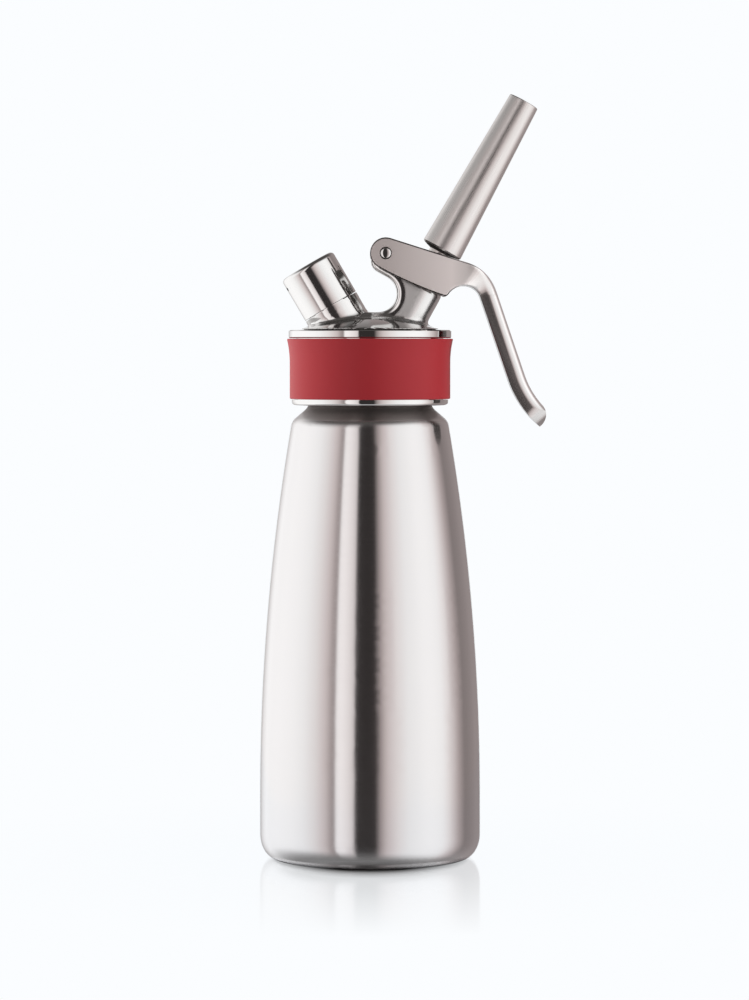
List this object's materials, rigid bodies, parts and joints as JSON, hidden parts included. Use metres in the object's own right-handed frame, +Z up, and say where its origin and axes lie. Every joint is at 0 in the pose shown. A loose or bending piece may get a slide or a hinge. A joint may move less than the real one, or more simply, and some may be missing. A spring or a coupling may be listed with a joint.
{
  "type": "cream whipper",
  "caption": "Steel bottle with a screwed metal head: squeeze lever, tilted dosing valve with conical tip, screw-capped gas charging port and red silicone grip band.",
  "frame": {"origin": "on the floor under the bottle's axis, in the plane of the foot ring", "axes": "+Z up the bottle's axis, +X towards the lever and the decorating tip, -X towards the charging port"},
  "size_m": [0.1094, 0.0846, 0.292],
  "materials": {
    "brushed_steel": "brushed round the axis",
    "polished_steel": "mirror polished",
    "satin_steel": "satin",
    "red_silicone": "matt silicone",
    "dark_rubber": "matt"
  },
  "bodies": {
    "bottle": {"bottle": "brushed_steel"},
    "gasket": {"head_gasket": "dark_rubber"},
    "head": {"head": "polished_steel", "neck_ring": "polished_steel", "grip_band": "red_silicone", "lever_pin": "polished_steel", "valve_spring": "polished_steel", "piercing_pin": "satin_steel", "charger_seal": "dark_rubber", "check_spring": "polished_steel", "check_retainer": "satin_steel"},
    "lever": {"lever": "satin_steel"},
    "valve": {"valve_stem": "satin_steel", "valve_seal": "dark_rubber", "stem_o_rings": "dark_rubber", "stem_collar": "satin_steel", "collar_clip": "satin_steel"},
    "tip_ring": {"tip_seal": "dark_rubber"},
    "tip": {"decorating_tip": "brushed_steel"},
    "cap_ring": {"cap_seal": "dark_rubber"},
    "cap": {"charging_cap": "polished_steel"},
    "check_valve": {"check_poppet": "satin_steel"}
  },
  "joints": [
    {"name": "head_lift", "type": "slide", "parent": "bottle", "child": "gasket", "axis": [0, 0, 1], "range_m": [0, 0.009]},
    {"name": "head_turn", "type": "hinge", "parent": "gasket", "child": "head", "pos_m": [0, 0, 0.1969], "axis": [0, 0, 1], "range_deg": [0, 1080]},
    {"name": "lever_pivot", "type": "hinge", "parent": "head", "child": "lever", "pos_m": [0.00598, 0, 0.23131], "axis": [0, 1, 0], "range_deg": [0, 12], "stiffness_Nm_per_rad": 1, "springref_deg": -17.19},
    {"name": "valve_slide", "type": "slide", "parent": "head", "child": "valve", "axis": [-0.4848, 0, -0.8746], "range_m": [0, 0.0038], "deforming": ["valve_spring"]},
    {"name": "tip_lift", "type": "slide", "parent": "valve", "child": "tip_ring", "axis": [0.4848, 0, 0.8746], "range_m": [0, 0.0045]},
    {"name": "tip_turn", "type": "hinge", "parent": "tip_ring", "child": "tip", "pos_m": [0.02729, 0, 0.23264], "axis": [0.4848, 0, 0.8746], "range_deg": [0, 1080]},
    {"name": "cap_lift", "type": "slide", "parent": "head", "child": "cap_ring", "axis": [-0.506, 0, 0.8625], "range_m": [0, 0.006]},
    {"name": "cap_turn", "type": "hinge", "parent": "cap_ring", "child": "cap", "pos_m": [-0.02044, 0, 0.22055], "axis": [-0.506, 0, 0.8625], "range_deg": [0, 1080]},
    {"name": "check_slide", "type": "slide", "parent": "head", "child": "check_valve", "axis": [0.506, 0, -0.8625], "range_m": [0, 0.001], "stiffness_N_per_m": 200, "springref_m": -0.002, "deforming": ["check_spring"]}
  ],
  "couplings": [
    {"joint": "head_lift", "follows": "head_turn", "m_per_rad": 0.00047746},
    {"joint": "valve_slide", "follows": "lever_pivot", "m_per_rad": 0.018},
    {"joint": "tip_lift", "follows": "tip_turn", "m_per_rad": 0.00023873},
    {"joint": "cap_lift", "follows": "cap_turn", "m_per_rad": 0.00031831}
  ]
}
